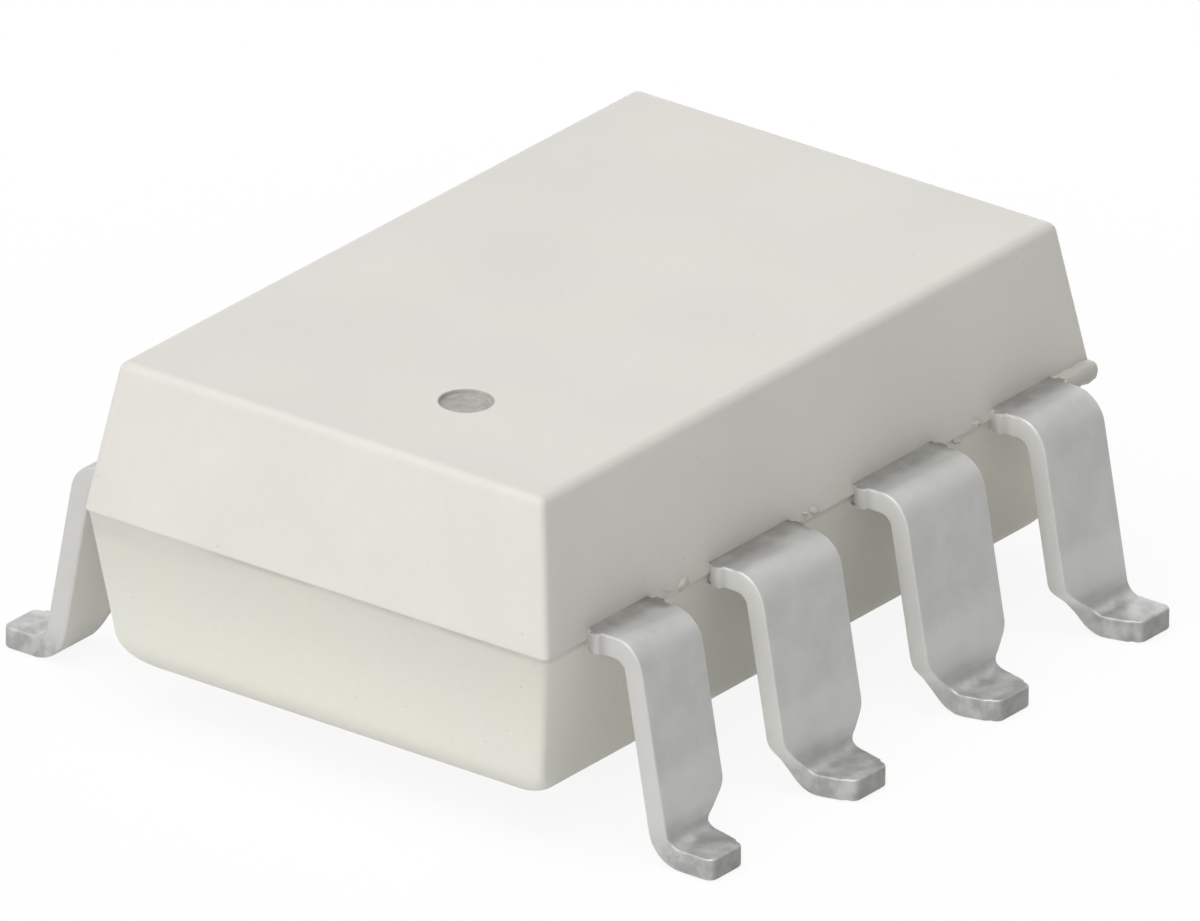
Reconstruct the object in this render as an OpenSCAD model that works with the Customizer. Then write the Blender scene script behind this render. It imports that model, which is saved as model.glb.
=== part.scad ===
// Surface-mount optocoupler in an eight-lead gull-wing package.
// X runs along the rows of leads, Y across them and Z up, with z = 0 on the seating plane under the feet.
// Lead 1 is at -X on the -Y side, and the numbers go round anticlockwise as seen from above.

/* [Mould body] */
// Length of the body at its parting line
body_l = 9.63; // [9.4:0.01:9.9]
// Width of the body at its parting line
body_w = 6.26; // [6.1:0.01:6.6]
// Height of the upper half, from the parting plane to the top
top_h = 1.72; // [1.6:0.01:1.9]
// Depth of the lower half, from the parting plane to the underside
bottom_h = 1.91; // [1.7:0.01:2]
// Draft of the upper half's four sides, in degrees
top_draft = 9.3; // [5:0.1:12]
// Draft of the lower half's four sides, in degrees
bottom_draft = 7.8; // [5:0.1:12]
// Radius along the top's edges
top_edge_r = 0.12; // [0.05:0.01:0.25]
// Radius along the underside's edges
bottom_edge_r = 0.47; // [0.2:0.01:0.6]
// Radius of the four upright corners
corner_r = 0.08; // [0.05:0.01:0.3]
// How far the upper half overhangs the lower one at the parting line
parting_step = 0.03; // [0.01:0.01:0.06]
// How far the ledge of mould flash stands out at the +X end of each row
flash_out = 0.18; // [0.1:0.01:0.25]

/* [Pin 1 mark] */
// Diameter of the moulded dimple
mark_d = 0.58; // [0.4:0.01:0.9]
// Depth of the dimple
mark_depth = 0.05; // [0.02:0.01:0.1]
// Distance of the dimple from the middle of the body, towards lead 1's end
mark_x = 3.05; // [2.5:0.01:3.8]
// Distance of the dimple from the middle of the body, towards lead 1's side
mark_y = 0.68; // [0.3:0.01:2.2]

/* [Leads] */
// Pitch of the leads in each row
pitch = 2.54; // [2.45:0.01:2.6]
// Thickness of the lead frame
lead_t = 0.25; // [0.2:0.01:0.3]
// Height of the lead frame's middle plane above the seating plane
plane_h = 2.365; // [2.25:0.005:2.6]
// Width of an inner lead's shank
shank_w = 1.38; // [1.2:0.01:1.6]
// Distance from a corner lead's centre line to its straight edge, towards the package's end
corner_end_w = 0.28; // [0.24:0.01:0.5]
// Distance from a corner lead's centre line to its other edge
corner_inner_w = 0.79; // [0.6:0.01:0.85]
// Width of an inner lead where the foot begins
heel_w = 0.84; // [0.6:0.01:0.9]
// Width of an inner lead's foot at its tip
foot_w = 0.61; // [0.5:0.01:0.7]
// Flat shoulder between the body and the upper bend
shoulder = 0.335; // [0.25:0.005:0.45]
// Inside radius of the upper bend
bend_r = 0.15; // [0.1:0.01:0.2]
// Inside radius of the lower bend
heel_r = 0.18; // [0.1:0.01:0.25]
// Lean of the shank outwards from the vertical, in degrees
splay = 10.5; // [6:0.5:12]
// Length of the flat foot, from the lower bend to the tip
foot_l = 0.435; // [0.35:0.005:0.6]
// Height at which the shank starts to narrow towards the foot
taper_top = 0.58; // [0.5:0.01:0.8]
// Height at which the narrowing ends
taper_end = 0.27; // [0.26:0.01:0.35]
// Corner radius of the foot's tip, seen from above
tip_r = 0.11; // [0.04:0.01:0.15]
// Radius of the worn edges along the tip's cut end
tip_edge_r = 0.05; // [0.02:0.01:0.08]
// How far each cut dam-bar stub stands out from the lead's edge
stub_out = 0.05; // [0.02:0.01:0.1]
// Length of a dam-bar stub along the lead
stub_l = 0.14; // [0.1:0.01:0.18]

/* [Lead frame inside the body] */
// How far a lead's full width reaches into the body
root_in = 0.3; // [0.2:0.01:0.4]
// Width of the inner leads' necks inside the body
neck_w = 0.9; // [0.7:0.01:1]
// Width of the corner leads' necks inside the body
corner_neck_w = 0.68; // [0.5:0.01:0.7]
// How far the unused leads' anchors reach into the body
anchor_l = 1.6; // [1.2:0.01:1.8]
// Diameter of the locking hole in each anchor
lock_d = 0.36; // [0.25:0.01:0.4]
// Clear gap between neighbouring pieces of the lead frame
frame_gap = 0.3; // [0.2:0.01:0.35]
// Width of the bars that end at a bond
bond_bar_w = 0.5; // [0.4:0.01:0.6]
// Width of the arm that carries the detector's pad
pad_arm_w = 0.8; // [0.6:0.01:1]

/* [Emitter] */
// Side of the square light-emitting die
led_side = 0.35; // [0.25:0.01:0.4]
// Height of the light-emitting die
led_h = 0.2; // [0.15:0.01:0.25]
// Place of the die along the body
led_x = 0.35; // [0.2:0.01:0.5]
// Distance of the die from the middle of the body, towards the input leads
led_y = 1.35; // [1.25:0.01:1.5]
// Margin of the pad round the light-emitting die
led_margin = 0.3; // [0.2:0.01:0.35]

/* [Detector] */
// Length of the detector die
detector_l = 1.2; // [1:0.01:1.3]
// Width of the detector die
detector_w = 1; // [0.8:0.01:1.1]
// Height of the detector die
detector_h = 0.25; // [0.2:0.01:0.3]
// Place of the detector along the body
detector_x = 0.2; // [0.1:0.01:0.35]
// Distance of the detector from the middle of the body, towards the output leads
detector_y = 0.75; // [0.65:0.01:0.8]
// Margin of the pad round the detector
detector_margin = 0.2; // [0.1:0.01:0.25]

/* [Die attach and bond wires] */
// Thickness of the adhesive under each die
attach_t = 0.02; // [0.01:0.01:0.03]
// Rim of adhesive round each die
attach_rim = 0.03; // [0.02:0.01:0.05]
// Diameter of the gold wire
wire_d = 0.03; // [0.02:0.005:0.035]
// Rise of a wire's loop above the straight line between its two bonds
loop_h = 0.2; // [0.12:0.01:0.25]
// Diameter of the ball bond on a die
ball_d = 0.09; // [0.07:0.01:0.1]
// Height of the ball bond and of the stitch bond
bond_h = 0.04; // [0.035:0.005:0.05]
// Diameter of the stitch bond on the lead frame
stitch_d = 0.08; // [0.06:0.01:0.1]
// Distance of every bond from the edge that it sits next to
bond_in = 0.15; // [0.12:0.01:0.2]

/* [Silicone dome] */
// Margin of the clear dome round the farthest bond
dome_margin = 0.19; // [0.18:0.01:0.3]
// Height of the dome above the lead frame
dome_h = 1.1; // [1:0.01:1.2]
// Place of the dome along the body
dome_x = 0.1; // [0:0.01:0.2]
// Place of the dome across the body
dome_y = 0.2; // [0.15:0.01:0.25]

/* [Hidden] */
$fn = 48;

// Straight steps in each bend and rounded corner of a lead
bend_steps = 10;
// Room that a cutter runs past what it cuts
past = 1;
leads = [for (n = [1:8]) n];
input_side = -1;
output_side = 1;

// Levels and faces that several pieces share
frame_top = plane_h + lead_t / 2;
frame_bottom = plane_h - lead_t / 2;
wall_y = body_w / 2;
end_x = body_l / 2;
led_top = frame_top + attach_t + led_h;
detector_top = frame_top + attach_t + detector_h;

// The lead's side profile: two bends, with the straight shank as their common tangent
bend_center = [wall_y + shoulder, frame_bottom - bend_r];
shank_l = (bend_center.y - lead_t - heel_r + (bend_r + lead_t + heel_r) * sin(splay)) / cos(splay);
heel_center = [
  bend_center.x + (bend_r + lead_t + heel_r) * cos(splay) + shank_l * sin(splay),
  lead_t + heel_r
];
tip_y = heel_center.x + foot_l;

// Pads and bond bars, each named by the edges that its neighbours keep clear of
led_pad_x = led_x - led_side / 2 - led_margin;
led_pad_y = [-led_y - led_side / 2 - led_margin, -led_y + led_side / 2 + led_margin];
detector_pad_x = [
  detector_x - detector_l / 2 - detector_margin,
  detector_x + detector_l / 2 + detector_margin
];
detector_pad_y = [
  detector_y - detector_w / 2 - detector_margin,
  detector_y + detector_w / 2 + detector_margin
];
anode_bar_x = led_pad_x - frame_gap;
supply_bar_x = detector_pad_x[0] - frame_gap;
finger_y = detector_pad_y[1] + frame_gap;

// Centres of the bonds, with the die's edge bonds set in from its corners
anode_bond = [anode_bar_x - bond_in, -led_y];
supply_bond = [supply_bar_x - bond_in, detector_y];
enable_bond = [lead_x(7) + neck_w / 2 - bond_in, finger_y + bond_in];
output_bond = [lead_x(6) - neck_w / 2 + bond_in, finger_y + bond_in];
ground_bond = [detector_pad_x[1] + bond_in, detector_y];
die_left = detector_x - detector_l / 2 + bond_in;
die_right = detector_x + detector_l / 2 - bond_in;
die_back = detector_y + detector_w / 2 - bond_in;

// The dome covers every bond on the lead frame
lead_bonds = [anode_bond, supply_bond, enable_bond, output_bond, ground_bond];
bond_reach = max([for (bond = lead_bonds) norm(bond - [dome_x, dome_y])]);
dome_r = bond_reach + dome_margin;

function lead_side(n) = n <= 4 ? input_side : output_side;
function lead_x(n) = (n <= 4 ? n - 2.5 : 6.5 - n) * pitch;
function is_corner(n) = n == 1 || n == 4 || n == 5 || n == 8;
// Distance from a lead's centre line to its edge, towards +X or -X
function edge_w(n, towards) =
  !is_corner(n) ? shank_w / 2
  : sign(lead_x(n)) == towards ? corner_end_w
  : corner_inner_w;
function neck_half_w(n) = (is_corner(n) ? corner_neck_w : neck_w) / 2;
function along(angle, length) = length * [cos(angle), sin(angle)];
function arc(center, r, from, to) = [
  for (i = [0:bend_steps]) center + along(from + (to - from) * i / bend_steps, r)
];

// ---- Mould body ----

// A drafted side view with its base on the X axis and its two upper corners rounded
module drafted_profile(half_w, h, draft, r) {
  corner = [(half_w * cos(draft) - r - (h - r) * sin(draft)) / cos(draft), h - r];
  side = corner + along(draft, r);
  polygon([
    [-half_w, 0], [half_w, 0],
    side, [corner.x, h],
    [-corner.x, h], [-side.x, side.y]
  ]);
  for (s = [-1, 1])
    translate([s * corner.x, corner.y]) circle(r);
}

// Cuts the sharp edge between two drafted sides back to a radius, at the corner in the +X +Y quarter
module corner_cutter(half_l, half_w, h, draft, r) {
  lean = atan(sqrt(2) * tan(draft));
  half_angle = asin(cos(draft) / sqrt(2));
  center = [-r / cos(half_angle), 0];
  reach = 3 * r;
  translate([half_l, half_w, 0])
    rotate([0, -lean, 45])
      translate([0, 0, -past])
        linear_extrude(h + 2 * past)
          difference() {
            polygon([
              center,
              center + along(half_angle, reach),
              center + [reach / cos(half_angle), 0],
              center + along(-half_angle, reach)
            ]);
            translate(center) circle(r);
          }
}

// One half of the mould shape, standing on the parting plane
module body_half(l, w, h, draft, edge_r) {
  difference() {
    intersection() {
      rotate([90, 0, 90])
        linear_extrude(l + past, center = true)
          drafted_profile(w / 2, h, draft, edge_r);
      rotate([90, 0, 0])
        linear_extrude(w + past, center = true)
          drafted_profile(l / 2, h, draft, edge_r);
    }
    for (sx = [0, 1], sy = [0, 1])
      mirror([sx, 0, 0])
        mirror([0, sy, 0])
          corner_cutter(l / 2, w / 2, h, draft, corner_r);
  }
}

// Ledges of flash that filled the mould as far as the dam bar, past the last lead of each row
module end_flash() {
  inner_x = lead_x(4) + corner_end_w;
  for (side = [input_side, output_side])
    translate([inner_x, side > 0 ? 0 : -wall_y - flash_out, frame_bottom])
      cube([end_x - parting_step - inner_x, wall_y + flash_out, lead_t]);
}

module mould_shape() {
  translate([0, 0, plane_h])
    body_half(body_l, body_w, top_h, top_draft, top_edge_r);
  translate([0, 0, plane_h])
    mirror([0, 0, 1])
      body_half(body_l - 2 * parting_step, body_w - 2 * parting_step, bottom_h, bottom_draft, bottom_edge_r);
  end_flash();
}

module mould_body() {
  color([0.871, 0.859, 0.831])
    difference() {
      mould_shape();
      for (n = leads) lead(n);
      dome_cap();
      translate([-mark_x, -mark_y, plane_h + top_h - mark_depth])
        cylinder(d = mark_d, h = mark_depth + past);
    }
}

// ---- Leads ----

// Side view of the formed strip, with Y outwards and the seating plane at 0
module lead_profile() {
  root_y = wall_y - root_in;
  tip_center_y = tip_y - tip_edge_r;
  polygon(concat(
    [[root_y, frame_bottom], [root_y, frame_top]],
    arc(bend_center, bend_r + lead_t, 90, splay),
    arc(heel_center, heel_r, 180 + splay, 270),
    arc([tip_center_y, lead_t - tip_edge_r], tip_edge_r, 90, 0),
    arc([tip_center_y, tip_edge_r], tip_edge_r, 0, -90),
    arc(heel_center, heel_r + lead_t, 270, 180 + splay),
    arc(bend_center, bend_r, splay, 90)
  ));
}

// Front view of the strip: the wide shank and its taper to the foot
module lead_front(low_w, high_w) {
  low_heel = min(low_w, heel_w / 2);
  high_heel = min(high_w, heel_w / 2);
  polygon([
    [-low_heel, -past], [high_heel, -past],
    [high_heel, taper_end], [high_w, taper_top],
    [high_w, frame_top + past], [-low_w, frame_top + past],
    [-low_w, taper_top], [-low_heel, taper_end]
  ]);
}

// Plan view of the strip: the foot narrows on to its tip, whose corners are rounded
module lead_plan(low_w, high_w) {
  low_heel = min(low_w, heel_w / 2);
  high_heel = min(high_w, heel_w / 2);
  low_tip = min(low_w, foot_w / 2);
  high_tip = min(high_w, foot_w / 2);
  polygon(concat(
    [[-low_w - past, 0], [high_w + past, 0], [high_w + past, heel_center.x], [high_heel, heel_center.x]],
    arc([high_tip - tip_r, tip_y - tip_r], tip_r, 0, 90),
    arc([tip_r - low_tip, tip_y - tip_r], tip_r, 90, 180),
    [[-low_heel, heel_center.x], [-low_w - past, heel_center.x]]
  ));
}

// The formed part of a lead that shows, drawn on the +Y side and about its own centre line
module formed_lead(low_w, high_w) {
  intersection() {
    translate([-low_w - past, 0, 0])
      rotate([90, 0, 90])
        linear_extrude(low_w + high_w + 2 * past)
          lead_profile();
    translate([0, tip_y + past, 0])
      rotate([90, 0, 0])
        linear_extrude(tip_y + past)
          lead_front(low_w, high_w);
    translate([0, 0, -past])
      linear_extrude(frame_top + 2 * past)
        lead_plan(low_w, high_w);
  }
  // What is left of the dam bar after it was cut between the leads
  translate([-low_w - stub_out, wall_y + flash_out - stub_l, frame_bottom])
    cube([low_w + high_w + 2 * stub_out, stub_l, lead_t]);
}

// A flat piece of the lead frame between two corners
module plate(a, b) {
  translate([min(a.x, b.x), min(a.y, b.y), frame_bottom])
    cube([abs(b.x - a.x), abs(b.y - a.y), lead_t]);
}

// The straight neck from a lead's root inwards to the line y
module neck(n, y) {
  half = neck_half_w(n);
  plate([lead_x(n) - half, lead_side(n) * (wall_y - root_in / 2)], [lead_x(n) + half, y]);
}

// An unused lead ends in a plain anchor with a hole that the mould compound fills
module anchor(n) {
  end_y = lead_side(n) * (wall_y - anchor_l);
  difference() {
    neck(n, end_y);
    translate([lead_x(n), end_y - lead_side(n) * (neck_half_w(n) + lock_d / 2), frame_bottom - past])
      cylinder(d = lock_d, h = lead_t + 2 * past);
  }
}

// A neck that turns into a bar along X, which ends at the line x
module neck_and_bar(n, x, y, width) {
  inner_y = y - lead_side(n) * width / 2;
  outer_x = lead_x(n) + sign(lead_x(n)) * neck_half_w(n);
  neck(n, inner_y);
  plate([outer_x, inner_y], [x, y + lead_side(n) * width / 2]);
}

module inner_frame(n) {
  if (n == 1 || n == 4) anchor(n);
  if (n == 2) neck_and_bar(n, anode_bar_x, -led_y, bond_bar_w);
  if (n == 3) neck_and_bar(n, led_pad_x, -led_y, led_pad_y[1] - led_pad_y[0]);
  if (n == 5) {
    neck_and_bar(n, detector_x, detector_y, pad_arm_w);
    plate([detector_pad_x[0], detector_pad_y[0]], [detector_pad_x[1], detector_pad_y[1]]);
  }
  if (n == 6 || n == 7) neck(n, finger_y);
  if (n == 8) neck_and_bar(n, supply_bar_x, detector_y, bond_bar_w);
}

module lead(n) {
  color([0.66, 0.66, 0.645]) {
    translate([lead_x(n), 0, 0])
      mirror([0, lead_side(n) < 0 ? 1 : 0, 0])
        formed_lead(edge_w(n, -1), edge_w(n, 1));
    inner_frame(n);
  }
}

// ---- Dies ----

module die(x, y, l, w, h) {
  translate([x - l / 2, y - w / 2, frame_top + attach_t])
    cube([l, w, h]);
}

module die_attach(x, y, l, w) {
  translate([x - l / 2 - attach_rim, y - w / 2 - attach_rim, frame_top])
    cube([l + 2 * attach_rim, w + 2 * attach_rim, attach_t]);
}

module led_die() {
  color([0.55, 0.2, 0.2]) die(led_x, -led_y, led_side, led_side, led_h);
}

module led_die_attach() {
  color([0.7, 0.7, 0.7]) die_attach(led_x, -led_y, led_side, led_side);
}

module detector_die() {
  color([0.3, 0.32, 0.4]) die(detector_x, detector_y, detector_l, detector_w, detector_h);
}

module detector_die_attach() {
  color([0.7, 0.7, 0.7]) die_attach(detector_x, detector_y, detector_l, detector_w);
}

// ---- Bond wires ----

// A ball on the die, a stitch on the lead frame and one arc between them, in the upright plane through both
module bond_wire(die_bond, die_top, frame_bond) {
  run = frame_bond - die_bond;
  chord = [norm(run), frame_top - die_top];
  rise_r = (pow(norm(chord) / 2, 2) + pow(loop_h, 2)) / (2 * loop_h);
  chord_angle = atan2(chord.y, chord.x);
  half_sweep = asin(norm(chord) / 2 / rise_r);
  center = chord / 2 - along(chord_angle + 90, rise_r - loop_h);
  color([0.85, 0.68, 0.25]) {
    translate([die_bond.x, die_bond.y, die_top]) cylinder(d = ball_d, h = bond_h);
    translate([frame_bond.x, frame_bond.y, frame_top]) cylinder(d = stitch_d, h = bond_h);
    translate([die_bond.x, die_bond.y, die_top + bond_h / 2])
      rotate([90, 0, atan2(run.y, run.x)])
        translate([center.x, center.y, 0])
          rotate(chord_angle + 90 - half_sweep)
            rotate_extrude(angle = 2 * half_sweep)
              translate([rise_r, 0]) circle(d = wire_d);
  }
}

module anode_wire() {
  bond_wire([led_x, -led_y], led_top, anode_bond);
}

module supply_wire() {
  bond_wire([die_left, detector_y], detector_top, supply_bond);
}

module enable_wire() {
  bond_wire([die_left, die_back], detector_top, enable_bond);
}

module output_wire() {
  bond_wire([die_right, die_back], detector_top, output_bond);
}

module ground_wire() {
  bond_wire([die_right, detector_y], detector_top, ground_bond);
}

// ---- Silicone dome ----

// A cap of a sphere, flat on the lead frame
module dome_cap() {
  ball_r = (pow(dome_r, 2) + pow(dome_h, 2)) / (2 * dome_h);
  translate([dome_x, dome_y, frame_top])
    intersection() {
      translate([0, 0, dome_h - ball_r]) sphere(ball_r);
      cylinder(r = dome_r + past, h = dome_h + past);
    }
}

module silicone_dome() {
  color([0.85, 0.9, 0.95, 0.5])
    difference() {
      dome_cap();
      led_die();
      led_die_attach();
      detector_die();
      detector_die_attach();
      anode_wire();
      supply_wire();
      enable_wire();
      output_wire();
      ground_wire();
    }
}

mould_body();
lead(1);  // lead_1
lead(2);  // lead_2
lead(3);  // lead_3
lead(4);  // lead_4
lead(5);  // lead_5
lead(6);  // lead_6
lead(7);  // lead_7
lead(8);  // lead_8
silicone_dome();
led_die();
led_die_attach();
detector_die();
detector_die_attach();
anode_wire();
supply_wire();
enable_wire();
output_wire();
ground_wire();
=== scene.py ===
"""Eight-lead gull-wing optocoupler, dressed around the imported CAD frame.

Sizes are in millimetres, as in the part's source, and finish_piece() turns each mesh to metres.
The floor and the lamps are in metres.
"""

import math

import bmesh
import bpy
from mathutils import Matrix, Vector


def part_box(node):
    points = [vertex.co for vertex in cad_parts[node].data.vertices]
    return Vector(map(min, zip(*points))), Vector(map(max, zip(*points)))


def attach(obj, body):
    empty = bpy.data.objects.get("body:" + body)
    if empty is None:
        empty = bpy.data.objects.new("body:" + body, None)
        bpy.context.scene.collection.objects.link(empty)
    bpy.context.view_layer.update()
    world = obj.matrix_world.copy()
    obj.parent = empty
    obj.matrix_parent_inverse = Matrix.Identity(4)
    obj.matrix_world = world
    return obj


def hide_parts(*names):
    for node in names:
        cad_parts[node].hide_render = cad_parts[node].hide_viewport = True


MM = 0.001

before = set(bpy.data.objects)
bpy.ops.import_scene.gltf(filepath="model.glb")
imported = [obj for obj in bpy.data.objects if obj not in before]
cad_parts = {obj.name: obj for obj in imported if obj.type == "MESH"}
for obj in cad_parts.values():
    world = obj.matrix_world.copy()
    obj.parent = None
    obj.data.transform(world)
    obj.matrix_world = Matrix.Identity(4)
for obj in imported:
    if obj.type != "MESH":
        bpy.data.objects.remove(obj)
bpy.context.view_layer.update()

# ---- Sizes: the heights come from the frame, and the rest repeats the part's source ----

BODY_BOTTOM, BODY_TOP = ((corner / MM).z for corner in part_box("mould_body"))
FRAME_TOP = (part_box("lead_2")[1] / MM).z

LEAD_T = 0.25
PLANE_H = FRAME_TOP - LEAD_T / 2
FRAME_BOTTOM = FRAME_TOP - LEAD_T
BODY_L, BODY_W = 9.63, 6.26
END_X, WALL_Y = BODY_L / 2, BODY_W / 2
TOP_DRAFT, BOTTOM_DRAFT = 9.3, 7.8
TOP_EDGE_R, BOTTOM_EDGE_R = 0.12, 0.47
CORNER_R, TOP_CORNER_R, BOTTOM_CORNER_R = 0.08, 0.05, 0.3
PARTING_STEP, FLASH_OUT = 0.03, 0.18
MARK_R, MARK_DEPTH, MARK = 0.29, 0.05, (-3.05, -0.68)
# The worn lip of the upper half and the worn rim of the mark are finer than the part's source
LIP, MARK_RIM = 0.012, 0.02

PITCH = 2.54
SHANK_W, CORNER_END_W, CORNER_INNER_W = 1.38, 0.28, 0.79
HEEL_W, FOOT_W, FOOT_L = 0.84, 0.61, 0.435
SHOULDER, BEND_R, HEEL_R, SPLAY = 0.335, 0.15, 0.18, math.radians(10.5)
TAPER_TOP, TAPER_END, TIP_R = 0.58, 0.27, 0.11
STUB_OUT, STUB_L = 0.05, 0.14
ROOT_IN = 0.3
BEND_CENTER = (WALL_Y + SHOULDER, FRAME_BOTTOM - BEND_R)
BENDS = BEND_R + LEAD_T + HEEL_R
SHANK_L = (BEND_CENTER[1] - LEAD_T - HEEL_R + BENDS * math.sin(SPLAY)) / math.cos(SPLAY)
HEEL_CENTER = (
    BEND_CENTER[0] + BENDS * math.cos(SPLAY) + SHANK_L * math.sin(SPLAY),
    LEAD_T + HEEL_R,
)
TURN = math.pi / 2 - SPLAY
MID_BEND, MID_HEEL = BEND_R + LEAD_T / 2, HEEL_R + LEAD_T / 2
# Distances along the strip from the body's wall to each change of shape
AT_BEND = SHOULDER
AT_SHANK = AT_BEND + MID_BEND * TURN
AT_HEEL = AT_SHANK + SHANK_L
AT_FOOT = AT_HEEL + MID_HEEL * TURN
AT_TIP = AT_FOOT + FOOT_L


# ---- Camera ----

def place_camera():
    """A long lens, looking down on the lead 1 corner. Distances are in millimetres."""
    azimuth, elevation, roll = (math.radians(a) for a in (-52.6445, 24.7659, 0.3644))
    distance, pixels_per_mm, picture_width = 423.92, 93.276, 1200
    aim_right, aim_down = 0.1169, 0.2543
    back = Vector((
        math.sin(azimuth) * math.cos(elevation),
        -math.cos(azimuth) * math.cos(elevation),
        math.sin(elevation),
    ))
    level = Vector((math.cos(azimuth), math.sin(azimuth), 0))
    upright = back.cross(level)
    right = math.cos(roll) * level + math.sin(roll) * upright
    up = math.cos(roll) * upright - math.sin(roll) * level
    place = Vector((0, 0, PLANE_H)) + back * distance + right * aim_right - up * aim_down
    data = bpy.data.cameras.new("camera")
    data.sensor_width = 36
    data.lens = pixels_per_mm * distance * data.sensor_width / picture_width
    data.clip_start, data.clip_end = 0.01, 5
    camera = bpy.data.objects.new("camera", data)
    bpy.context.scene.collection.objects.link(camera)
    camera.matrix_world = Matrix((
        (right.x, up.x, back.x, place.x * MM),
        (right.y, up.y, back.y, place.y * MM),
        (right.z, up.z, back.z, place.z * MM),
        (0, 0, 0, 1),
    ))
    bpy.context.scene.camera = camera


place_camera()


# ---- Node helpers ----

class Nodes:
    """A new material with its shader, and short calls for the nodes in front of it."""

    def __init__(self, name, **settings):
        self.material = bpy.data.materials.new(name)
        self.material.use_nodes = True
        self.tree = self.material.node_tree
        self.shader = self.tree.nodes["Principled BSDF"]
        for socket, value in settings.items():
            self.shader.inputs[socket].default_value = value
        self.place = self.add("ShaderNodeTexCoord").outputs["Object"]

    def add(self, kind, inputs=None, **settings):
        node = self.tree.nodes.new(kind)
        for key, value in settings.items():
            setattr(node, key, value)
        for key, value in (inputs or {}).items():
            self.put(value, node.inputs[key])
        return node

    def put(self, value, socket):
        if isinstance(value, bpy.types.NodeSocket):
            self.tree.links.new(value, socket)
        else:
            socket.default_value = value

    def shade(self, socket, value):
        self.put(value, self.shader.inputs[socket])

    def noise(self, scale, detail=4, rough=0.55, stretch=None, offset=(0, 0, 0)):
        """Noise from 0 to 1, with scale in cycles per millimetre."""
        grid = self.add(
            "ShaderNodeMapping",
            {"Vector": self.place, "Location": offset, "Scale": stretch or (1, 1, 1)},
        )
        inputs = {"Vector": grid.outputs["Vector"], "Scale": scale / MM}
        inputs.update({"Detail": detail, "Roughness": rough})
        return self.add("ShaderNodeTexNoise", inputs).outputs["Fac"]

    def ramp(self, value, low, high, out_low=0.0, out_high=1.0, smooth=True):
        """Goes from out_low to out_high as the value goes from low to high."""
        inputs = {"Value": value, "From Min": low, "From Max": high, "To Min": out_low, "To Max": out_high}
        kind = "SMOOTHSTEP" if smooth else "LINEAR"
        return self.add("ShaderNodeMapRange", inputs, interpolation_type=kind).outputs["Result"]

    def band(self, value, start, full, fading, end, strength=1.0):
        """Rises from start to full, and falls again from fading to end."""
        return self.times(self.ramp(value, start, full), self.ramp(value, fading, end, strength, 0.0))

    def math(self, kind, a, b=0.0):
        node = self.add("ShaderNodeMath", {0: a, 1: b}, operation=kind)
        return node.outputs["Value"]

    def times(self, a, b):
        return self.math("MULTIPLY", a, b)

    def mix(self, factor, a, b):
        node = self.add("ShaderNodeMix", {"Factor": factor}, data_type="RGBA")
        self.put(a, node.inputs[6])
        self.put(b, node.inputs[7])
        return node.outputs[2]

    def bump(self, height, distance, strength=1.0, normal=None):
        """Raises the surface by up to distance millimetres."""
        inputs = {"Height": height, "Distance": distance * MM, "Strength": strength}
        if normal:
            inputs["Normal"] = normal
        return self.add("ShaderNodeBump", inputs).outputs["Normal"]

    def axis(self, name):
        return self.add("ShaderNodeSeparateXYZ", {0: self.place}).outputs[name]

    def attribute(self, name):
        return self.add("ShaderNodeAttribute", attribute_name=name).outputs["Fac"]


# ---- Materials ----

# Dark grey for the specks of dirt, and for the painted shadow under the seam
DIRT_AND_SHADE = (0.42, 0.4, 0.35, 1)


def far_side(m):
    """0 on the near half of the body, rising to 1 towards the far side."""
    return m.ramp(m.axis("Y"), 0.4 * MM, 2.4 * MM)


def compound_tones_with_painted_light(m):
    """The cloudy upper half, and the lower half, which is yellower and painted lighter to lift the shade
    that falls on it.
    """
    upper, upper_dark = (0.756, 0.735, 0.684, 1), (0.722, 0.705, 0.66, 1)
    # Painted light: the lower half's tones are lighter than the upper half's, against its shade
    lower, lower_cool = (0.778, 0.76, 0.682, 1), (0.758, 0.76, 0.694, 1)
    clouds = m.ramp(m.noise(0.55, 3), 0.35, 0.68)
    tint = m.ramp(m.noise(0.4, 2, offset=(7, 3, 1)), 0.42, 0.62)
    # The line between the two wanders, and is painted lower on the far side, where the change of shading
    # between the halves shows lower
    wander = m.times(m.math("SUBTRACT", m.noise(0.5, 2), 0.5), 0.2 * MM)
    edge = m.math("ADD", m.axis("Z"), m.math("ADD", wander, m.times(far_side(m), 0.22 * MM)))
    below = m.ramp(edge, (PLANE_H + 0.03) * MM, (PLANE_H - 0.16) * MM)
    return m.mix(below, m.mix(clouds, upper_dark, upper), m.mix(tint, lower, lower_cool))


def seam_shadow(m, colour):
    """Painted shadow in patches under the lip of the upper half, along the seam of the two halves, fainter
    on the far side.
    """
    levels = ((PLANE_H + over) * MM for over in (-0.09, -0.02, -0.004, 0.004))
    patches = m.ramp(m.noise(0.8, 3, offset=(2, 5, 0)), 0.36, 0.6, 0.08, 0.45)
    patches = m.times(patches, m.ramp(far_side(m), 0.0, 1.0, 1.0, 0.2))
    return m.mix(m.times(m.band(m.axis("Z"), *levels), patches), colour, DIRT_AND_SHADE)


def mark_floor(m, colour):
    """The floor of the pin 1 mark is burnished darker."""
    mark_center = Vector((*MARK, BODY_TOP)) * MM
    away = m.add("ShaderNodeVectorMath", {0: m.place, 1: mark_center}, operation="DISTANCE")
    mark = m.ramp(away.outputs["Value"], (MARK_R + 0.006) * MM, (MARK_R + 0.024) * MM, 1.0, 0.0)
    spots = m.ramp(m.noise(9, 3, 0.6, offset=(1, 0, 0)), 0.35, 0.65)
    return m.mix(mark, colour, m.mix(spots, (0.36, 0.35, 0.32, 1), (0.44, 0.43, 0.395, 1)))


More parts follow.
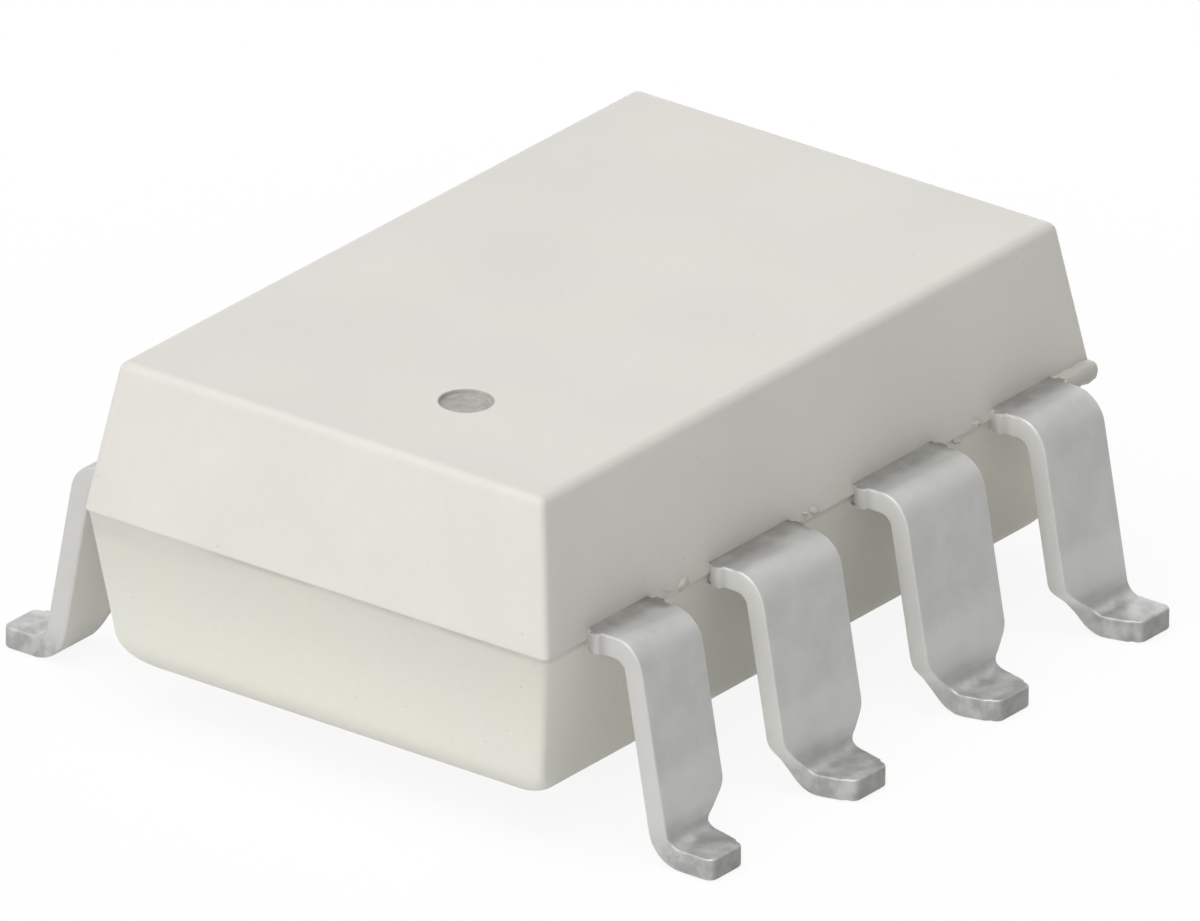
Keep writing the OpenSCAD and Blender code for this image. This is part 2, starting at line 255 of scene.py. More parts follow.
def mould_compound():
    m = Nodes("mould_compound", **{"Specular IOR Level": 0.4})
    colour = seam_shadow(m, compound_tones_with_painted_light(m))
    # The rim over the board is painted darker, as the shade beneath the body
    rim = m.ramp(m.axis("Z"), (BODY_BOTTOM + 0.02) * MM, (BODY_BOTTOM + 0.45) * MM, 0.5, 0.0)
    colour = m.mix(rim, colour, (0.5, 0.5, 0.47, 1))
    # Fine filler grains and a few dark specks
    grains = m.ramp(m.noise(14, 2, 0.6), 0.3, 0.75, 0.0, 0.05)
    colour = m.mix(grains, colour, (0.5, 0.49, 0.46, 1))
    cells = m.add("ShaderNodeTexVoronoi", {"Vector": m.place, "Scale": 2.2 / MM, "Randomness": 1.0})
    specks = m.ramp(cells.outputs["Distance"], 0.02, 0.045, 0.35, 0.0)
    colour = mark_floor(m, m.mix(specks, colour, DIRT_AND_SHADE))
    # Flash is thin, stained resin
    colour = m.mix(m.times(m.attribute("flash"), 0.75), colour, (0.5, 0.485, 0.44, 1))
    m.shade("Base Color", colour)
    m.shade("Roughness", m.ramp(m.noise(1.1, 4), 0.3, 0.7, 0.52, 0.66))
    fine = m.bump(m.noise(9, 6, 0.7), 0.006, 0.6)
    m.shade("Normal", m.bump(m.noise(0.7, 3), 0.02, 0.35, fine))
    return m.material


def tin_with_painted_highlights(m, along):
    """Mottled tin, with painted highlights in patches on the bend and a lighter painted band above the
    heel.
    """
    mottle = m.ramp(m.noise(2.2, 5, 0.62), 0.32, 0.68)
    colour = m.mix(mottle, (0.455, 0.455, 0.445, 1), (0.5, 0.5, 0.485, 1))
    # Painted highlight in patches where the bend catches the light
    bend = m.band(along, AT_BEND - 0.08, AT_BEND + 0.06, AT_BEND + 0.15, AT_SHANK - 0.05)
    worn = m.ramp(m.noise(1.9, 3, offset=(4, 0, 2)), 0.36, 0.6, 0.05, 0.38)
    colour = m.mix(m.times(bend, worn), colour, (0.6, 0.6, 0.585, 1))
    # Painted highlight in a band above the heel
    low = m.band(along, AT_HEEL - 0.75, AT_HEEL - 0.5, AT_HEEL - 0.15, AT_HEEL - 0.02, 0.6)
    return m.mix(low, colour, (0.56, 0.56, 0.545, 1))


def frosted_sides_with_painted_light(m, colour, frosted):
    """The sheared sides and the inner face are frosted. The sides at the part's ends are painted darker,
    where the side lamp falls fully, the sides between the leads lighter, in their shade, and the inner
    face lighter, to lift its shade.
    """
    # Painted light and shade on the sheared sides, by how the side lamp falls on them
    ends = m.ramp(m.math("ABSOLUTE", m.axis("X")), 3.7 * MM, 3.95 * MM)
    side = m.mix(ends, (0.76, 0.755, 0.73, 1), (0.61, 0.605, 0.59, 1))
    # Painted light on the inner face, against its shade
    inner = m.ramp(m.attribute("inner"), 0.4, 0.9)
    side = m.mix(inner, side, (0.76, 0.75, 0.71, 1))
    return m.mix(m.times(frosted, 0.9), colour, side)


def root_shade_and_dark_edge(m, colour, along, frosted):
    """Painted shade and a dark reflection of the wall in patches on the shoulder by the wall, and the
    metal darker beside one edge by the dam bar's stub.
    """
    # Painted shade and dark reflection on the flat shoulder at the wall
    root = m.ramp(along, AT_BEND - 0.2, AT_BEND - 0.02, 0.65, 0.0)
    root_shade_patches = m.times(root, m.ramp(m.noise(4, 3, 0.6), 0.3, 0.6, 0.45, 1.0))
    root_shade_patches = m.times(root_shade_patches, m.ramp(frosted, 0.0, 1.0, 1.0, 0.35))
    colour = m.mix(root_shade_patches, colour, (0.24, 0.235, 0.22, 1))
    # Darker metal beside one edge, at the dam bar's stub
    beside = m.ramp(m.attribute("across"), 0.56, 0.7)
    cut = m.times(beside, m.ramp(along, AT_BEND - 0.06, AT_BEND + 0.04, 1.0, 0.0))
    return m.mix(m.times(cut, 0.7), colour, (0.2, 0.19, 0.175, 1))


def foot_shade_and_bare_end(m, colour, along, frosted):
    """The foot is painted darker in blotches, as painted shade and reflections, with painted shade in the
    crease at the heel, and its sheared end is bare.
    """
    # Painted shade and reflections on the foot, in blotches
    foot = m.ramp(along, AT_HEEL - 0.1, AT_HEEL + 0.35)
    blotch = m.ramp(m.noise(5, 3, 0.55), 0.32, 0.68)
    foot_shade_tones = m.mix(blotch, (0.31, 0.31, 0.305, 1), (0.53, 0.53, 0.52, 1))
    colour = m.mix(m.times(foot, m.ramp(frosted, 0.0, 1.0, 0.7, 0.85)), colour, foot_shade_tones)
    # Painted shade in the crease at the heel
    crease = m.band(along, AT_HEEL, AT_HEEL + 0.1, AT_HEEL + 0.14, AT_HEEL + 0.28, 0.5)
    crease = m.times(crease, m.ramp(frosted, 0.0, 1.0, 1.0, 0.0))
    colour = m.mix(crease, colour, (0.25, 0.25, 0.245, 1))
    end = m.ramp(along, AT_TIP - 0.04, AT_TIP)
    return m.mix(m.times(end, 0.5), colour, (0.3, 0.285, 0.255, 1))


def tinned_lead():
    m = Nodes("tinned_lead")
    along = m.attribute("along")
    frosted = m.ramp(m.attribute("matt"), 0.25, 1.0)
    colour = frosted_sides_with_painted_light(m, tin_with_painted_highlights(m, along), frosted)
    colour = root_shade_and_dark_edge(m, colour, along, frosted)
    m.shade("Base Color", foot_shade_and_bare_end(m, colour, along, frosted))
    m.shade("Metallic", m.ramp(frosted, 0.0, 1.0, 0.5, 0.05, smooth=False))
    m.shade("Specular IOR Level", m.ramp(frosted, 0.0, 1.0, 0.5, 0.15, smooth=False))
    m.shade("Roughness", m.ramp(m.noise(3.1, 4), 0.3, 0.7, 0.36, 0.52))
    streaks = m.noise(1, 4, 0.6, stretch=(14, 1.4, 1.4))
    m.shade("Normal", m.bump(m.noise(1.6, 3), 0.03, 0.35, m.bump(streaks, 0.004, 0.5)))
    return m.material


def clear_silicone():
    m = Nodes("clear_silicone", **{"Roughness": 0.08, "IOR": 1.41, "Transmission Weight": 1.0})
    m.shade("Base Color", m.mix(m.noise(0.8), (0.93, 0.95, 0.96, 1), (0.97, 0.98, 0.98, 1)))
    return m.material


def crystal(name, base, streak, roughness):
    """A polished die with the faint grid of its circuit."""
    m = Nodes(name, **{"Roughness": roughness, "IOR": 2.4})
    inputs = {"Vector": m.place, "Scale": 6 / MM, "Mortar Size": 0.03}
    inputs.update({"Color1": base, "Color2": streak, "Mortar": streak})
    cells = m.add("ShaderNodeTexBrick", inputs)
    m.shade("Base Color", m.mix(m.ramp(m.noise(6), 0.4, 0.6), cells.outputs["Color"], base))
    return m.material


def silver_adhesive():
    m = Nodes("silver_adhesive", **{"Metallic": 0.5, "Roughness": 0.6})
    flakes = m.ramp(m.noise(40, 3), 0.35, 0.65)
    m.shade("Base Color", m.mix(flakes, (0.42, 0.42, 0.41, 1), (0.66, 0.66, 0.65, 1)))
    m.shade("Normal", m.bump(flakes, 0.004, 0.6))
    return m.material


def gold_wire():
    m = Nodes("gold_wire", **{"Metallic": 1.0, "Roughness": 0.22})
    m.shade("Base Color", m.mix(m.noise(20), (0.8, 0.58, 0.2, 1), (0.88, 0.68, 0.28, 1)))
    return m.material


MATERIALS = {
    "mould_compound": mould_compound(),
    "tinned_lead": tinned_lead(),
    "clear_silicone": clear_silicone(),
    "emitter_crystal": crystal("emitter_crystal", (0.3, 0.06, 0.06, 1), (0.42, 0.14, 0.1, 1), 0.15),
    "detector_silicon": crystal("detector_silicon", (0.1, 0.11, 0.15, 1), (0.2, 0.22, 0.3, 1), 0.12),
    "silver_adhesive": silver_adhesive(),
    "gold_wire": gold_wire(),
}
NODE_SLOTS = {
    "silicone_dome": "clear_silicone",
    "led_die": "emitter_crystal",
    "led_die_attach": "silver_adhesive",
    "detector_die": "detector_silicon",
    "detector_die_attach": "silver_adhesive",
    "anode_wire": "gold_wire",
    "supply_wire": "gold_wire",
    "enable_wire": "gold_wire",
    "output_wire": "gold_wire",
    "ground_wire": "gold_wire",
}
for node_name, slot_name in NODE_SLOTS.items():
    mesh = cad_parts[node_name].data
    mesh.materials.clear()
    mesh.materials.append(MATERIALS[slot_name])


# ---- Mesh helpers ----

def finish_piece(bm, name, slot_name, *nodes, flat_above=None, **attributes):
    """Turns a mesh in millimetres into a piece that rides on the part and stands for the CAD nodes."""
    bmesh.ops.recalc_face_normals(bm, faces=bm.faces)
    data = bpy.data.meshes.new(name)
    bm.to_mesh(data)
    bm.free()
    for attribute, values in attributes.items():
        data.attributes.new(attribute, "FLOAT", "POINT").data.foreach_set("value", values)
    for corner in data.vertices:
        corner.co *= MM
    data.shade_smooth()
    if flat_above is not None:
        for face in data.polygons:
            if face.center.z > flat_above * MM and abs(face.normal.z) > 0.9999:
                face.use_smooth = False
    data.materials.append(MATERIALS[slot_name])
    piece = bpy.data.objects.new(name, data)
    bpy.context.scene.collection.objects.link(piece)
    flat = piece.modifiers.new("flat faces", "WEIGHTED_NORMAL")
    flat.weight = 100
    flat.keep_sharp = True
    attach(piece, "root")
    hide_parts(*nodes)
    return piece


def join_rings(bm, rings):
    """Faces between each ring of corners and the next one."""
    for low, high in zip(rings, rings[1:]):
        for i in range(len(low)):
            j = (i + 1) % len(low)
            bm.faces.new((low[i], low[j], high[j], high[i]))


def loop_edges(bm, loop):
    """The edges round a closed loop of corners, made where they are missing."""
    return [bm.edges.get(pair) or bm.edges.new(pair) for pair in zip(loop, loop[1:] + loop[:1])]


def arc(center, radius, start, end, steps):
    """Points on a circle, with the angles in degrees."""
    turns = (math.radians(start + (end - start) * i / steps) for i in range(steps + 1))
    return [(center[0] + radius * math.cos(t), center[1] + radius * math.sin(t)) for t in turns]


def drafted_side(half, height, draft, radius, steps):
    """(distance from the middle, height) up a drafted side and round its upper edge."""
    lean = math.radians(draft)
    across = (half * math.cos(lean) - radius - (height - radius) * math.sin(lean)) / math.cos(lean)
    return [(half, 0.0)] + arc((across, height - radius), radius, draft, 90, steps)


# ---- Mould body ----

# Faces round each corner and along the long and short sides of the body, and round the mark
RING_CORNER, RING_LONG, RING_SHORT, MARK_STEPS = 5, 48, 32, 48


def ring(half_x, half_y, radius):
    """A rectangle with rounded corners, with the same number of points whatever its size."""
    corners = (
        ((half_x - radius, half_y - radius), 0),
        ((radius - half_x, half_y - radius), 90),
        ((radius - half_x, radius - half_y), 180),
        ((half_x - radius, radius - half_y), 270),
    )
    points = []
    for k, (center, start) in enumerate(corners):
        points += arc(center, radius, start, start + 90, RING_CORNER)
        follow = corners[(k + 1) % 4]
        first, last = points[-1], arc(follow[0], radius, follow[1], follow[1] + 90, 1)[0]
        count = RING_LONG if k % 2 == 0 else RING_SHORT
        for i in range(1, count):
            points.append(tuple(first[a] + (last[a] - first[a]) * i / count for a in (0, 1)))
    return points


def half_levels(step, height, draft, edge_r, steps, end_corner_r):
    """(half length, half width, height, corner radius) from the parting plane outwards."""
    long_side = drafted_side(END_X - step, height, draft, edge_r, steps)
    short_side = drafted_side(WALL_Y - step, height, draft, edge_r, steps)
    levels = []
    for k, ((x, z), (y, _)) in enumerate(zip(long_side, short_side)):
        share = max(0, k - 1) / steps
        levels.append((x, y, z, CORNER_R + (end_corner_r - CORNER_R) * share))
    return levels


def moulded_rings(bm):
    """Rings of corners from the bottom face to the top face."""
    upper = half_levels(0, BODY_TOP - PLANE_H, TOP_DRAFT, TOP_EDGE_R, 6, TOP_CORNER_R)
    depth = PLANE_H - BODY_BOTTOM
    lower = half_levels(PARTING_STEP, depth, BOTTOM_DRAFT, BOTTOM_EDGE_R, 10, BOTTOM_CORNER_R)
    levels = [(x, y, PLANE_H - z, r) for x, y, z, r in reversed(lower)]
    # The upper half ends in a small worn lip over the lower one
    levels.append((END_X - LIP, WALL_Y - LIP, PLANE_H, CORNER_R))
    for worn, over in ((LIP / 4, LIP / 2), (LIP / 2, 0.03)):
        levels.append((END_X - worn, WALL_Y - worn, PLANE_H + over, CORNER_R))
    levels += [(x, y, PLANE_H + z, r) for x, y, z, r in upper[1:]]
    return [[bm.verts.new((px, py, z)) for px, py in ring(x, y, r)] for x, y, z, r in levels]


def mark_circles(bm):
    """Circles of corners down into the pin 1 mark, a shallow dimple with a worn rim."""
    # (distance outside the mark's radius, depth)
    levels = ((MARK_RIM, 0), (MARK_RIM * 0.3, MARK_RIM * 0.3), (0, MARK_RIM))
    levels += ((-0.004, MARK_DEPTH - 0.012), (-0.016, MARK_DEPTH))
    circles = []
    for wider, depth in levels:
        points = arc(MARK, MARK_R + wider, 0, 360, MARK_STEPS)[:-1]
        circles.append([bm.verts.new((x, y, BODY_TOP - depth)) for x, y in points])
    return circles


def mould_body():
    bm = bmesh.new()
    rings = moulded_rings(bm)
    join_rings(bm, rings)
    bm.faces.new(rings[0][::-1])
    circles = mark_circles(bm)
    join_rings(bm, circles)
    bm.faces.new(circles[-1])
    edges = loop_edges(bm, rings[-1]) + loop_edges(bm, circles[0])
    bmesh.ops.triangle_fill(bm, edges=edges, use_beauty=True)
    moulded = len(bm.verts)
    flash_ledges(bm)
    crumbs(bm)
    flash = [0.0] * moulded + [1.0] * (len(bm.verts) - moulded)
    return finish_piece(
        bm, "mould_body_finish", "mould_compound", "mould_body",
        flat_above=BODY_TOP - 0.001, flash=flash,
    )


def flash_ledges(bm):
    """Thin ledges of mould flash past the last lead of each row, broken off unevenly."""
    start, stop = 1.5 * PITCH + CORNER_END_W - 0.02, END_X - PARTING_STEP
    inner, thick = 2.9, LEAD_T - 0.02
    # (share of the length, share of the reach, share of the thickness)
    cuts = [
        (0, 1, 1), (0.2, 0.9, 0.86), (0.38, 0.97, 0.95), (0.55, 0.78, 0.8),
        (0.72, 0.9, 0.92), (0.88, 0.84, 0.85), (0.97, 0.66, 0.7), (1, 0.4, 0.5),
    ]
    for side in (-1, 1):
        rows = []
        for length, reach, thickness in cuts:
            x = start + (stop - start) * length
            outer, half = WALL_Y + FLASH_OUT * reach, thick * thickness / 2
            profile = [(inner, -half), (outer - 0.04, -half), (outer - 0.01, -half * 0.7), (outer, 0)]
            profile += [(outer - 0.02, half * 0.75), (outer - 0.06, half), (inner, half)]
            rows.append([bm.verts.new((x, side * y, PLANE_H + z)) for y, z in profile])
        join_rings(bm, rows)
        bm.faces.new(rows[0])
        bm.faces.new(rows[-1][::-1])


def crumbs(bm):
    """Ragged crumbs of flash on the seam between the leads, the same on both sides."""
    # After the lead: (X from it, height over the seam, length)
    found = {
        1: [(1.38, 0.05, 0.17), (1.1, 0.09, 0.08)],
        2: [(1.15, 0.06, 0.15), (0.98, 0.1, 0.07)],
        3: [(1.12, -0.02, 0.12), (1.47, 0.05, 0.13)],
    }
    for side in (-1, 1):
        for n, lumps in found.items():
            for x, z, length in lumps:
                place = Vector((lead_x(n) + x, side * (WALL_Y - 0.01), PLANE_H + z))
                size = Matrix.Diagonal((length / 2, 0.055, length * 0.3, 1))
                turn = Matrix.Rotation(0.4 * math.sin(40 * x), 4, "Y")
                shape = (turn @ size).to_3x3()
                for corner in bmesh.ops.create_icosphere(bm, subdivisions=3, radius=1)["verts"]:
                    px, py, pz = corner.co
                    ragged = 1 + 0.22 * math.sin(5 * px + 9 * x) * math.sin(4 * py + 3 * n)
                    ragged += 0.16 * math.sin(6 * pz - 2 * px + 7 * x)
                    corner.co = place + shape @ (corner.co * ragged)


# ---- Leads ----

# (radius, faces round it) of the rims that the die leaves on the strip's two faces
ROLLED_RIM, SHARP_RIM = (0.05, 4), (0.035, 3)
# How far in from the outer face the strip turns matt, and how far in from the inner face its painted
# lightening fades
MATT_DEPTH, INNER_DEPTH = 0.018, 0.03
# Faces along the bend, the shank and the heel, and round the locking hole
BEND_STEPS, SHANK_STEPS, HEEL_STEPS, HOLE_STEPS = 14, 8, 14, 24


def formed(along, off):
    """(distance from the part's middle, height) of a point along the bent strip, off its mid plane."""
    if along <= AT_BEND:
        return WALL_Y + along, PLANE_H + off
    if along <= AT_SHANK:
        turn = math.pi / 2 - (along - AT_BEND) / MID_BEND
        reach = MID_BEND + off
        return BEND_CENTER[0] + reach * math.cos(turn), BEND_CENTER[1] + reach * math.sin(turn)
    if along <= AT_HEEL:
        y, z = formed(AT_SHANK, off)
        down = along - AT_SHANK
        return y + down * math.sin(SPLAY), z - down * math.cos(SPLAY)
    if along <= AT_FOOT:
        turn = math.pi + SPLAY + (along - AT_HEEL) / MID_HEEL
        reach = MID_HEEL - off
        return HEEL_CENTER[0] + reach * math.cos(turn), HEEL_CENTER[1] + reach * math.sin(turn)
    return HEEL_CENTER[0] + along - AT_FOOT, LEAD_T / 2 + off


def along_at_height(height):
    """Distance along the strip at which its mid plane is at a height, on the shank or the heel."""
    low, high = AT_SHANK, AT_FOOT
    for _ in range(40):
        middle = (low + high) / 2
        low, high = (middle, high) if formed(middle, 0)[1] > height else (low, middle)
    return low


def edge_path(width):
    """(half width, distance along) of one edge of the strip, from the wall to the tip's corner."""
    heel, tip = min(width, HEEL_W / 2), min(width, FOOT_W / 2)
    ends = [
        (0.0, width),
        (along_at_height(TAPER_TOP), width),
        (along_at_height(TAPER_END), heel),
        (AT_FOOT, heel),
        (AT_TIP, tip),
        (AT_TIP + 1, tip),
    ]

    def plain(at):
        for (s0, w0), (s1, w1) in zip(ends, ends[1:]):
            if at <= s1:
                return w0 + (w1 - w0) * (at - s0) / (s1 - s0)
        return tip

    # The cut stub of the dam bar
    out = width + STUB_OUT
    path = [(width, FLASH_OUT - STUB_L), (out, FLASH_OUT - STUB_L + 0.01)]
    path += [(out, FLASH_OUT - 0.02), (out - 0.015, FLASH_OUT), (width, FLASH_OUT + 0.005)]
    # The tapers, with their corners softened over a short reach
    start, stop, steps, reach = ends[1][0] - 0.15, AT_TIP - TIP_R, 26, 0.075
    for i in range(steps + 1):
        at = start + (stop - start) * i / steps
        around = [plain(at + reach * k / 4) for k in range(-4, 5)]
        path.append((sum(around) / len(around) if i < steps else tip, at))
    path += arc((tip - TIP_R, AT_TIP - TIP_R), TIP_R, 0, 90, 6)[1:]
    return path


def union_outline(plates):
    """The outline of a union of rectangles ((x0, y0), (x1, y1)), anticlockwise, corners only."""
    plates = [tuple(sorted(p[a] for p in plate) for a in (0, 1)) for plate in plates]
    grid = [sorted({round(v, 6) for plate in plates for v in plate[a]}) for a in (0, 1)]

    def filled(i, j):
        if not (0 <= i < len(grid[0]) - 1 and 0 <= j < len(grid[1]) - 1):
            return False
        x, y = ((grid[a][k] + grid[a][k + 1]) / 2 for a, k in ((0, i), (1, j)))
        return any(px[0] < x < px[1] and py[0] < y < py[1] for px, py in plates)

    follow = {}
    for i in range(len(grid[0]) - 1):
        for j in range(len(grid[1]) - 1):
            if not filled(i, j):
                continue
            if not filled(i, j - 1):
                follow[(i, j)] = (i + 1, j)
            if not filled(i + 1, j):
                follow[(i + 1, j)] = (i + 1, j + 1)
            if not filled(i, j + 1):
                follow[(i + 1, j + 1)] = (i, j + 1)
            if not filled(i - 1, j):
                follow[(i, j + 1)] = (i, j)
    first = min(follow)
    loop, at = [first], follow[first]
    while at != first:
        loop.append(at)
        at = follow[at]
    points = [(grid[0][i], grid[1][j]) for i, j in loop]
    turns = []
    for before, here, after in zip(points[-1:] + points, points, points[1:] + points[:1]):
        straight = before[0] == here[0] == after[0] or before[1] == here[1] == after[1]
        if not straight:
            turns.append(here)
    return turns


# The lead frame inside the body
NECK_W, CORNER_NECK_W, ANCHOR_L, LOCK_R = 0.9, 0.68, 1.6, 0.18
LED_PAD = ((-0.125, -1.825), (0.825, -0.875))
DETECTOR_PAD = ((-0.6, 0.05), (1.0, 1.45))
FRAME_GAP, BOND_BAR_W, PAD_ARM_W = 0.3, 0.5, 0.8
LED_BAR_Y, DETECTOR_BAR_Y, PAD_ARM_X = -1.35, 0.75, 0.2
CORNERS, ANCHORS = (1, 4, 5, 8), (1, 4)


def lead_x(n):
    return (n - 2.5 if n <= 4 else 6.5 - n) * PITCH


def lead_side(n):
    return -1 if n <= 4 else 1


def inner_plates(n):
    """Rectangles of the lead frame inside the body, in the part's own X and Y."""
    side, x = lead_side(n), lead_x(n)
    half = (CORNER_NECK_W if n in CORNERS else NECK_W) / 2
    root_y = side * (WALL_Y - ROOT_IN / 2)

    def neck(y):
        return (x - half, root_y), (x + half, y)

    def bar(end_x, y, width):
        inner = y - side * width / 2
        return [neck(inner), ((x + math.copysign(half, x), inner), (end_x, y + side * width / 2))]

    if n in ANCHORS:
        return [neck(side * (WALL_Y - ANCHOR_L))]
    if n == 2:
        return bar(LED_PAD[0][0] - FRAME_GAP, LED_BAR_Y, BOND_BAR_W)
    if n == 3:
        return bar(LED_PAD[0][0], LED_BAR_Y, LED_PAD[1][1] - LED_PAD[0][1])
    if n == 5:
        return bar(PAD_ARM_X, DETECTOR_BAR_Y, PAD_ARM_W) + [DETECTOR_PAD]
    if n == 8:
        return bar(DETECTOR_PAD[0][0] - FRAME_GAP, DETECTOR_BAR_Y, BOND_BAR_W)
    return [neck(DETECTOR_PAD[1][1] + FRAME_GAP)]


def lead_outline(n):
    """The flat blank of a lead: x about its centre line, and distance along the strip from the wall."""
    side, x = lead_side(n), lead_x(n)
    low = high = SHANK_W / 2
    if n in CORNERS:
        low, high = (CORNER_END_W, CORNER_INNER_W) if x < 0 else (CORNER_INNER_W, CORNER_END_W)
    plates = [((-low, -ROOT_IN), (high, 0))]
    for a, b in inner_plates(n):
        plates.append(((a[0] - x, side * a[1] - WALL_Y), (b[0] - x, side * b[1] - WALL_Y)))
    loop = union_outline(plates)
    top = loop.index((round(high, 6), 0))
    right, left = edge_path(high), edge_path(low)
    outside = right + [(-w, s) for w, s in reversed(left)]
    # The two corners on the wall's line give way to the strip's own edges
    if top + 1 < len(loop):
        return loop[:top] + outside + loop[top + 2:]
    return loop[1:top] + outside


def cut_across(bm, at):
    """Cuts the flat blank across, at a distance along the strip."""
    everything = bm.verts[:] + bm.edges[:] + bm.faces[:]
    bmesh.ops.bisect_plane(bm, geom=everything, dist=1e-5, plane_co=(0, at, 0), plane_no=(0, 1, 0))


def flat_blank(n):
    """The flat lead as a plate about its mid plane, with a locking hole in the anchors."""
    bm = bmesh.new()

    def corners(points):
        return [bm.verts.new((x, s, -LEAD_T / 2)) for x, s in points]

    outline = corners(lead_outline(n))
    edges = loop_edges(bm, outline)
    if n in ANCHORS:
        hole_at = -ANCHOR_L + CORNER_NECK_W / 2 + LOCK_R
        edges += loop_edges(bm, corners(arc((0, hole_at), LOCK_R, 0, 360, HOLE_STEPS)[:-1]))
        bmesh.ops.triangle_fill(bm, edges=edges, use_beauty=True)
        # Outside the wall the blank is one face again, so that its rims can be rolled evenly
        cut_across(bm, 0)
        seams = [
            e for e in bm.edges
            if len(e.link_faces) == 2
            and min(v.co.y for v in e.verts) > -1e-5
            and max(v.co.y for v in e.verts) > 1e-5
        ]
        bmesh.ops.dissolve_edges(bm, edges=seams, use_verts=False)
    else:
        bm.faces.new(outline)
    for face in bm.faces:
        if face.normal.z > 0:
            face.normal_flip()
    raised = bmesh.ops.extrude_face_region(bm, geom=bm.faces[:])["geom"]
    for item in raised:
        if isinstance(item, bmesh.types.BMVert):
            item.co.z = LEAD_T / 2
    bmesh.ops.recalc_face_normals(bm, faces=bm.faces)
    return bm


def roll_rims(bm):
    """Rounds the rims of both faces, from just inside the body's wall to the tip."""
    for level, (radius, segments) in ((LEAD_T / 2, ROLLED_RIM), (-LEAD_T / 2, SHARP_RIM)):
        rims = [
            e for e in bm.edges
            if all(abs(v.co.z - level) < 1e-6 and v.co.y > -0.1 for v in e.verts)
            and e.calc_face_angle(0) > 1
        ]
        bmesh.ops.bevel(
            bm, geom=rims, offset=radius, segments=segments, profile=0.5,
            affect="EDGES", clamp_overlap=True,
        )


def bend(bm, n):
    """Bends the blank and puts it in its place, and returns where each point lay on it."""
    stretches = (
        (AT_BEND, AT_SHANK, BEND_STEPS),
        (AT_SHANK, AT_HEEL, SHANK_STEPS),
        (AT_HEEL, AT_FOOT, HEEL_STEPS),
    )
    for start, stop, steps in stretches:
        for i in range(steps):
            cut_across(bm, start + (stop - start) * i / steps)
    cut_across(bm, AT_FOOT)
    side, x = lead_side(n), lead_x(n)
    along, across, matt, inner = [], [], [], []
    for corner in bm.verts:
        sideways, s, off = corner.co
        along.append(s)
        across.append(sideways)
        matt.append(min(1, (LEAD_T / 2 - off) / MATT_DEPTH))
        inner.append(min(1, max(0, 1 - (LEAD_T / 2 + off) / INNER_DEPTH)))
        y, z = formed(s, off)
        corner.co = (x + sideways, side * y, z)
    return {"along": along, "across": across, "matt": matt, "inner": inner}


def make_lead(n):
    bm = flat_blank(n)
    roll_rims(bm)
    attributes = bend(bm, n)
    name = f"lead_{n}"
    return finish_piece(bm, name + "_finish", "tinned_lead", name, **attributes)


mould_body()
for number in range(1, 9):
    make_lead(number)


# ---- Floor, light and world ----

FLOOR_R, FLOOR_DROP = 1.2, 0.00001
WHITE = (1, 1, 1, 1)


def seen_directly(tree):
    """1 for what the camera sees, straight or in metal and glass, and 0 for light on surfaces."""
    path = tree.nodes.new("ShaderNodeLightPath")
    total = path.outputs["Is Camera Ray"]
    for kind in ("Is Glossy Ray", "Is Transmission Ray"):
        top = tree.nodes.new("ShaderNodeMath")
        top.operation = "MAXIMUM"
        tree.links.new(total, top.inputs[0])
        tree.links.new(path.outputs[kind], top.inputs[1])
        total = top.outputs[0]
    return total


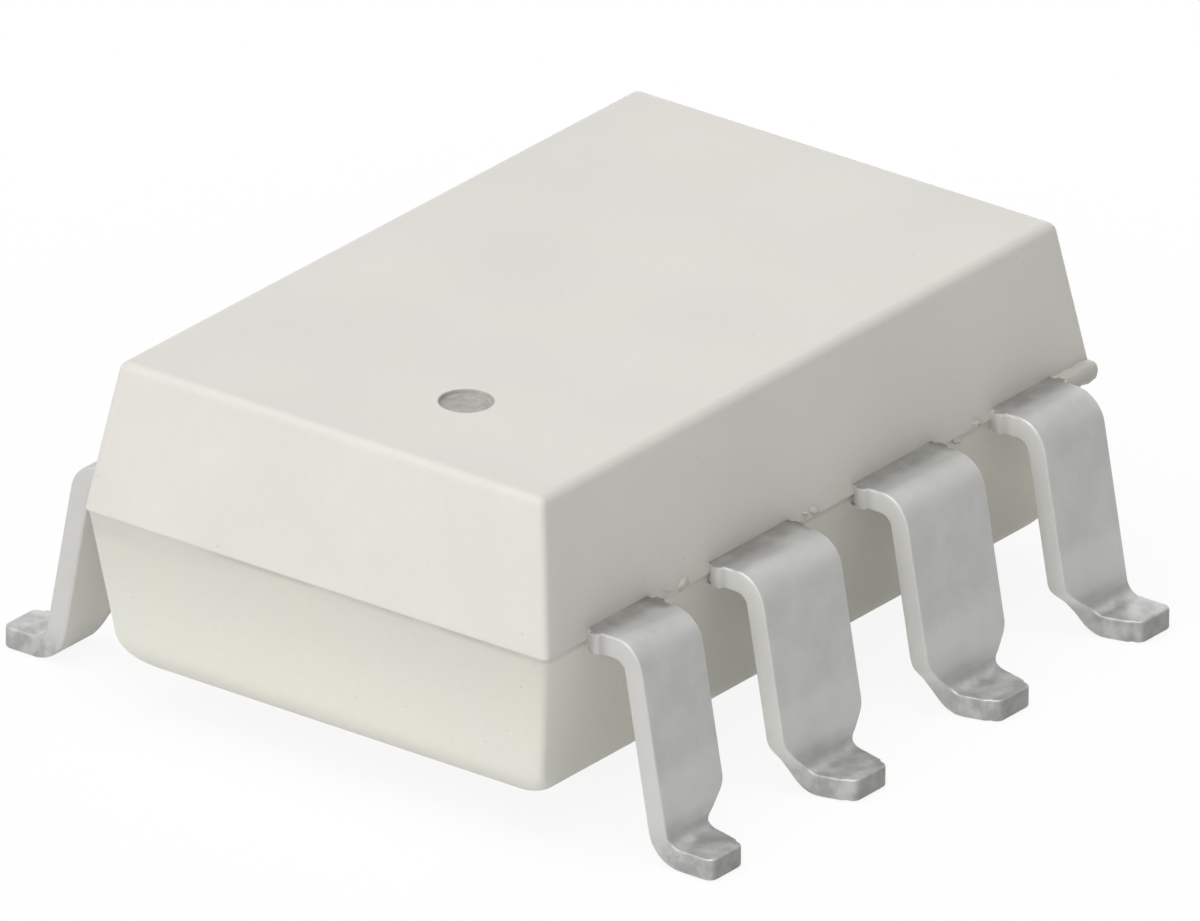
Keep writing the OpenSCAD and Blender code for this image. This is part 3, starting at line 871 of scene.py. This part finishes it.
def floor():
    """A pale matt floor that shows as plain white, but for a light shadow near the part."""
    data = bpy.data.meshes.new("floor")
    bm = bmesh.new()
    bmesh.ops.create_circle(bm, cap_ends=True, segments=96, radius=FLOOR_R)
    bm.to_mesh(data)
    bm.free()
    piece = bpy.data.objects.new("floor", data)
    piece.location.z = -FLOOR_DROP
    bpy.context.scene.collection.objects.link(piece)
    m = Nodes("floor", **{"Roughness": 0.9, "Specular IOR Level": 0.0})
    m.shade("Base Color", (0.96, 0.96, 0.95, 1))
    glow = m.add("ShaderNodeEmission", {"Color": WHITE, "Strength": 1.0})
    reach = m.add("ShaderNodeVectorMath", {0: m.place}, operation="LENGTH").outputs["Value"]
    share = m.ramp(reach, 0.005, 0.014, 0.9, 1.0)
    factor = m.times(share, seen_directly(m.tree))
    blend = m.add("ShaderNodeMixShader", {0: factor, 1: m.shader.outputs[0], 2: glow.outputs[0]})
    m.put(blend.outputs[0], m.tree.nodes["Material Output"].inputs["Surface"])
    data.materials.append(m.material)


def area_light(name, direction, distance, size, strength):
    """A soft box, with strength as the light that falls on a surface facing it."""
    data = bpy.data.lights.new(name, "AREA")
    data.shape = "RECTANGLE"
    data.size, data.size_y = size
    data.energy = strength * math.pi ** 2 * distance ** 2
    lamp = bpy.data.objects.new(name, data)
    towards = Vector(direction).normalized()
    lamp.location = Vector((0, 0, PLANE_H * MM)) + towards * distance
    lamp.rotation_mode = "QUATERNION"
    lamp.rotation_quaternion = towards.to_track_quat("Z", "Y")
    bpy.context.scene.collection.objects.link(lamp)


def surroundings():
    world = bpy.data.worlds.new("studio")
    world.use_nodes = True
    tree = world.node_tree
    ambient = tree.nodes["Background"]
    ambient.inputs["Color"].default_value = (1.0, 0.995, 0.98, 1)
    ambient.inputs["Strength"].default_value = 0.15
    backdrop = tree.nodes.new("ShaderNodeBackground")
    backdrop.inputs["Color"].default_value = WHITE
    backdrop.inputs["Strength"].default_value = 1.0
    blend = tree.nodes.new("ShaderNodeMixShader")
    tree.links.new(seen_directly(tree), blend.inputs[0])
    tree.links.new(ambient.outputs[0], blend.inputs[1])
    tree.links.new(backdrop.outputs[0], blend.inputs[2])
    tree.links.new(blend.outputs[0], tree.nodes["World Output"].inputs["Surface"])
    bpy.context.scene.world = world


floor()
surroundings()
area_light("overhead", (-0.2, 0.05, 1.0), distance=0.25, size=(0.24, 0.24), strength=0.865)
area_light("side", (-1.0, 0.0, 0.3), distance=0.3, size=(0.3, 0.14), strength=0.4)
area_light("far", (1.0, 0.25, 0.15), distance=0.3, size=(0.3, 0.08), strength=0.25)
bpy.context.scene.view_settings.view_transform = "Standard"
